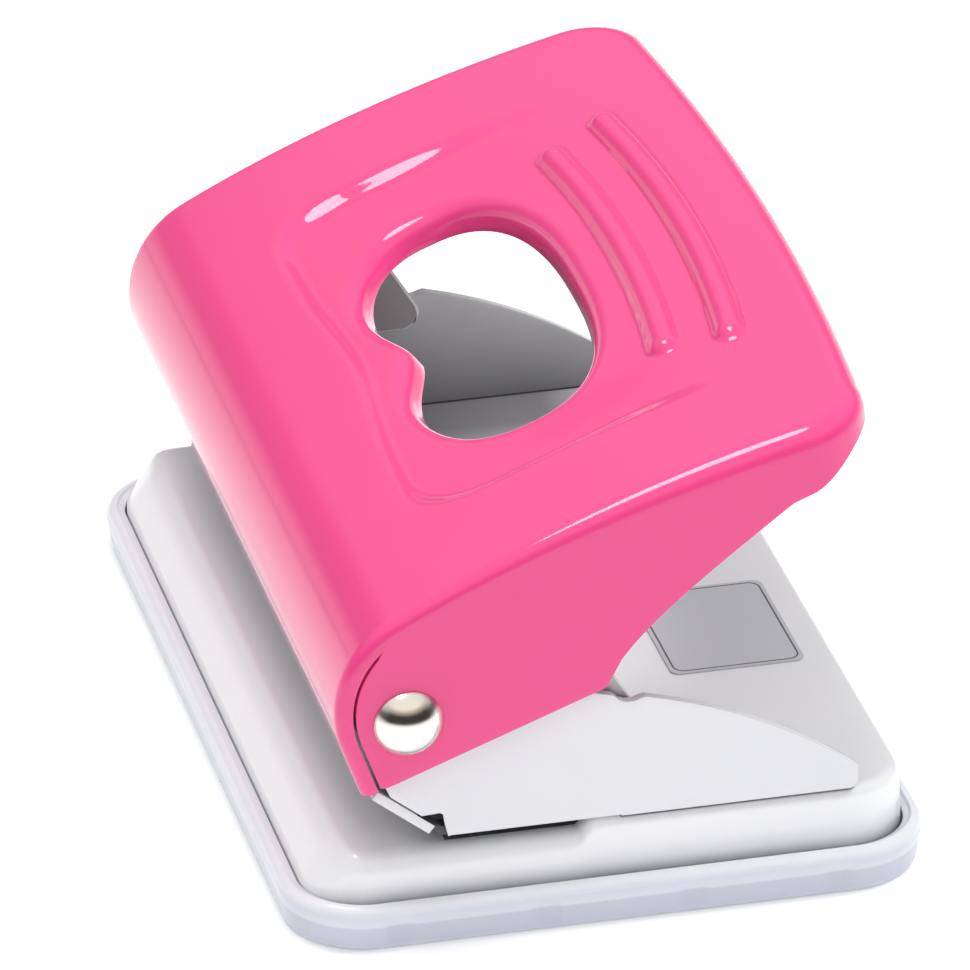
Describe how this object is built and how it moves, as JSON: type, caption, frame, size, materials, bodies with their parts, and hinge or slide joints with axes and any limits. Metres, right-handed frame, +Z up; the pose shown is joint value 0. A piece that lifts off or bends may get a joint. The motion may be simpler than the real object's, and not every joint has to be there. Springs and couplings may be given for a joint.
{
  "type": "two-hole desk punch",
  "caption": "Desk paper punch with a pressed lever on side rivets, spring-returned punch pins in a folded frame, a stepped paper bed and a lift-off clear chip tray.",
  "frame": {"origin": "on the table under the middle of the chip tray", "axes": "+Z up, +X from the paper side to the handle, Y along the line of the two holes"},
  "size_m": [0.0754, 0.1166, 0.0616],
  "materials": {
    "tray_plastic": "milky translucent moulding",
    "white_paint": "satin white enamel",
    "pink_paint": "gloss pink enamel",
    "plated_steel": "zinc plated",
    "tool_steel": "ground",
    "spring_steel": "drawn",
    "nickel": "polished nickel",
    "label_film": "silver-white film with a printed border"
  },
  "bodies": {
    "tray": {"chip_tray": "tray_plastic"},
    "punch": {"base_pan": "white_paint", "die_bush_near": "tool_steel", "die_bush_far": "tool_steel", "punch_frame": "white_paint", "frame_rivets": "plated_steel", "blank_label": "label_film", "guide_bush_near": "tool_steel", "guide_bush_far": "tool_steel", "pivot_washer_near": "plated_steel", "pivot_washer_far": "plated_steel", "pin_spring_near": "spring_steel", "pin_spring_far": "spring_steel"},
    "lever_arm": {"lever": "pink_paint", "press_yoke": "plated_steel", "pivot_rivet_near": "nickel", "pivot_rivet_far": "nickel"},
    "pin_near": {"punch_pin_near": "tool_steel", "pin_clip_near": "spring_steel", "spring_washer_near": "plated_steel"},
    "pin_far": {"punch_pin_far": "tool_steel", "pin_clip_far": "spring_steel", "spring_washer_far": "plated_steel"}
  },
  "joints": [
    {"name": "tray_release", "type": "slide", "parent": "tray", "child": "punch", "axis": [0, 0, 1], "range_m": [0, 0.012]},
    {"name": "lever_swing", "type": "hinge", "parent": "punch", "child": "lever_arm", "pos_m": [-0.02454, 0, 0.0288], "axis": [0, 1, 0], "range_deg": [0, 22], "stiffness_Nm_per_rad": 0.28, "springref_deg": -22.92},
    {"name": "pin_near_slide", "type": "slide", "parent": "punch", "child": "pin_near", "axis": [0, 0, -1], "range_m": [0, 0.00325], "deforming": ["pin_spring_near"]},
    {"name": "pin_far_slide", "type": "slide", "parent": "punch", "child": "pin_far", "axis": [0, 0, -1], "range_m": [0, 0.00325], "deforming": ["pin_spring_far"]}
  ],
  "couplings": [
    {"joint": "pin_near_slide", "follows": "lever_swing", "m_per_rad": 0.0084479},
    {"joint": "pin_far_slide", "follows": "lever_swing", "m_per_rad": 0.0084479}
  ]
}
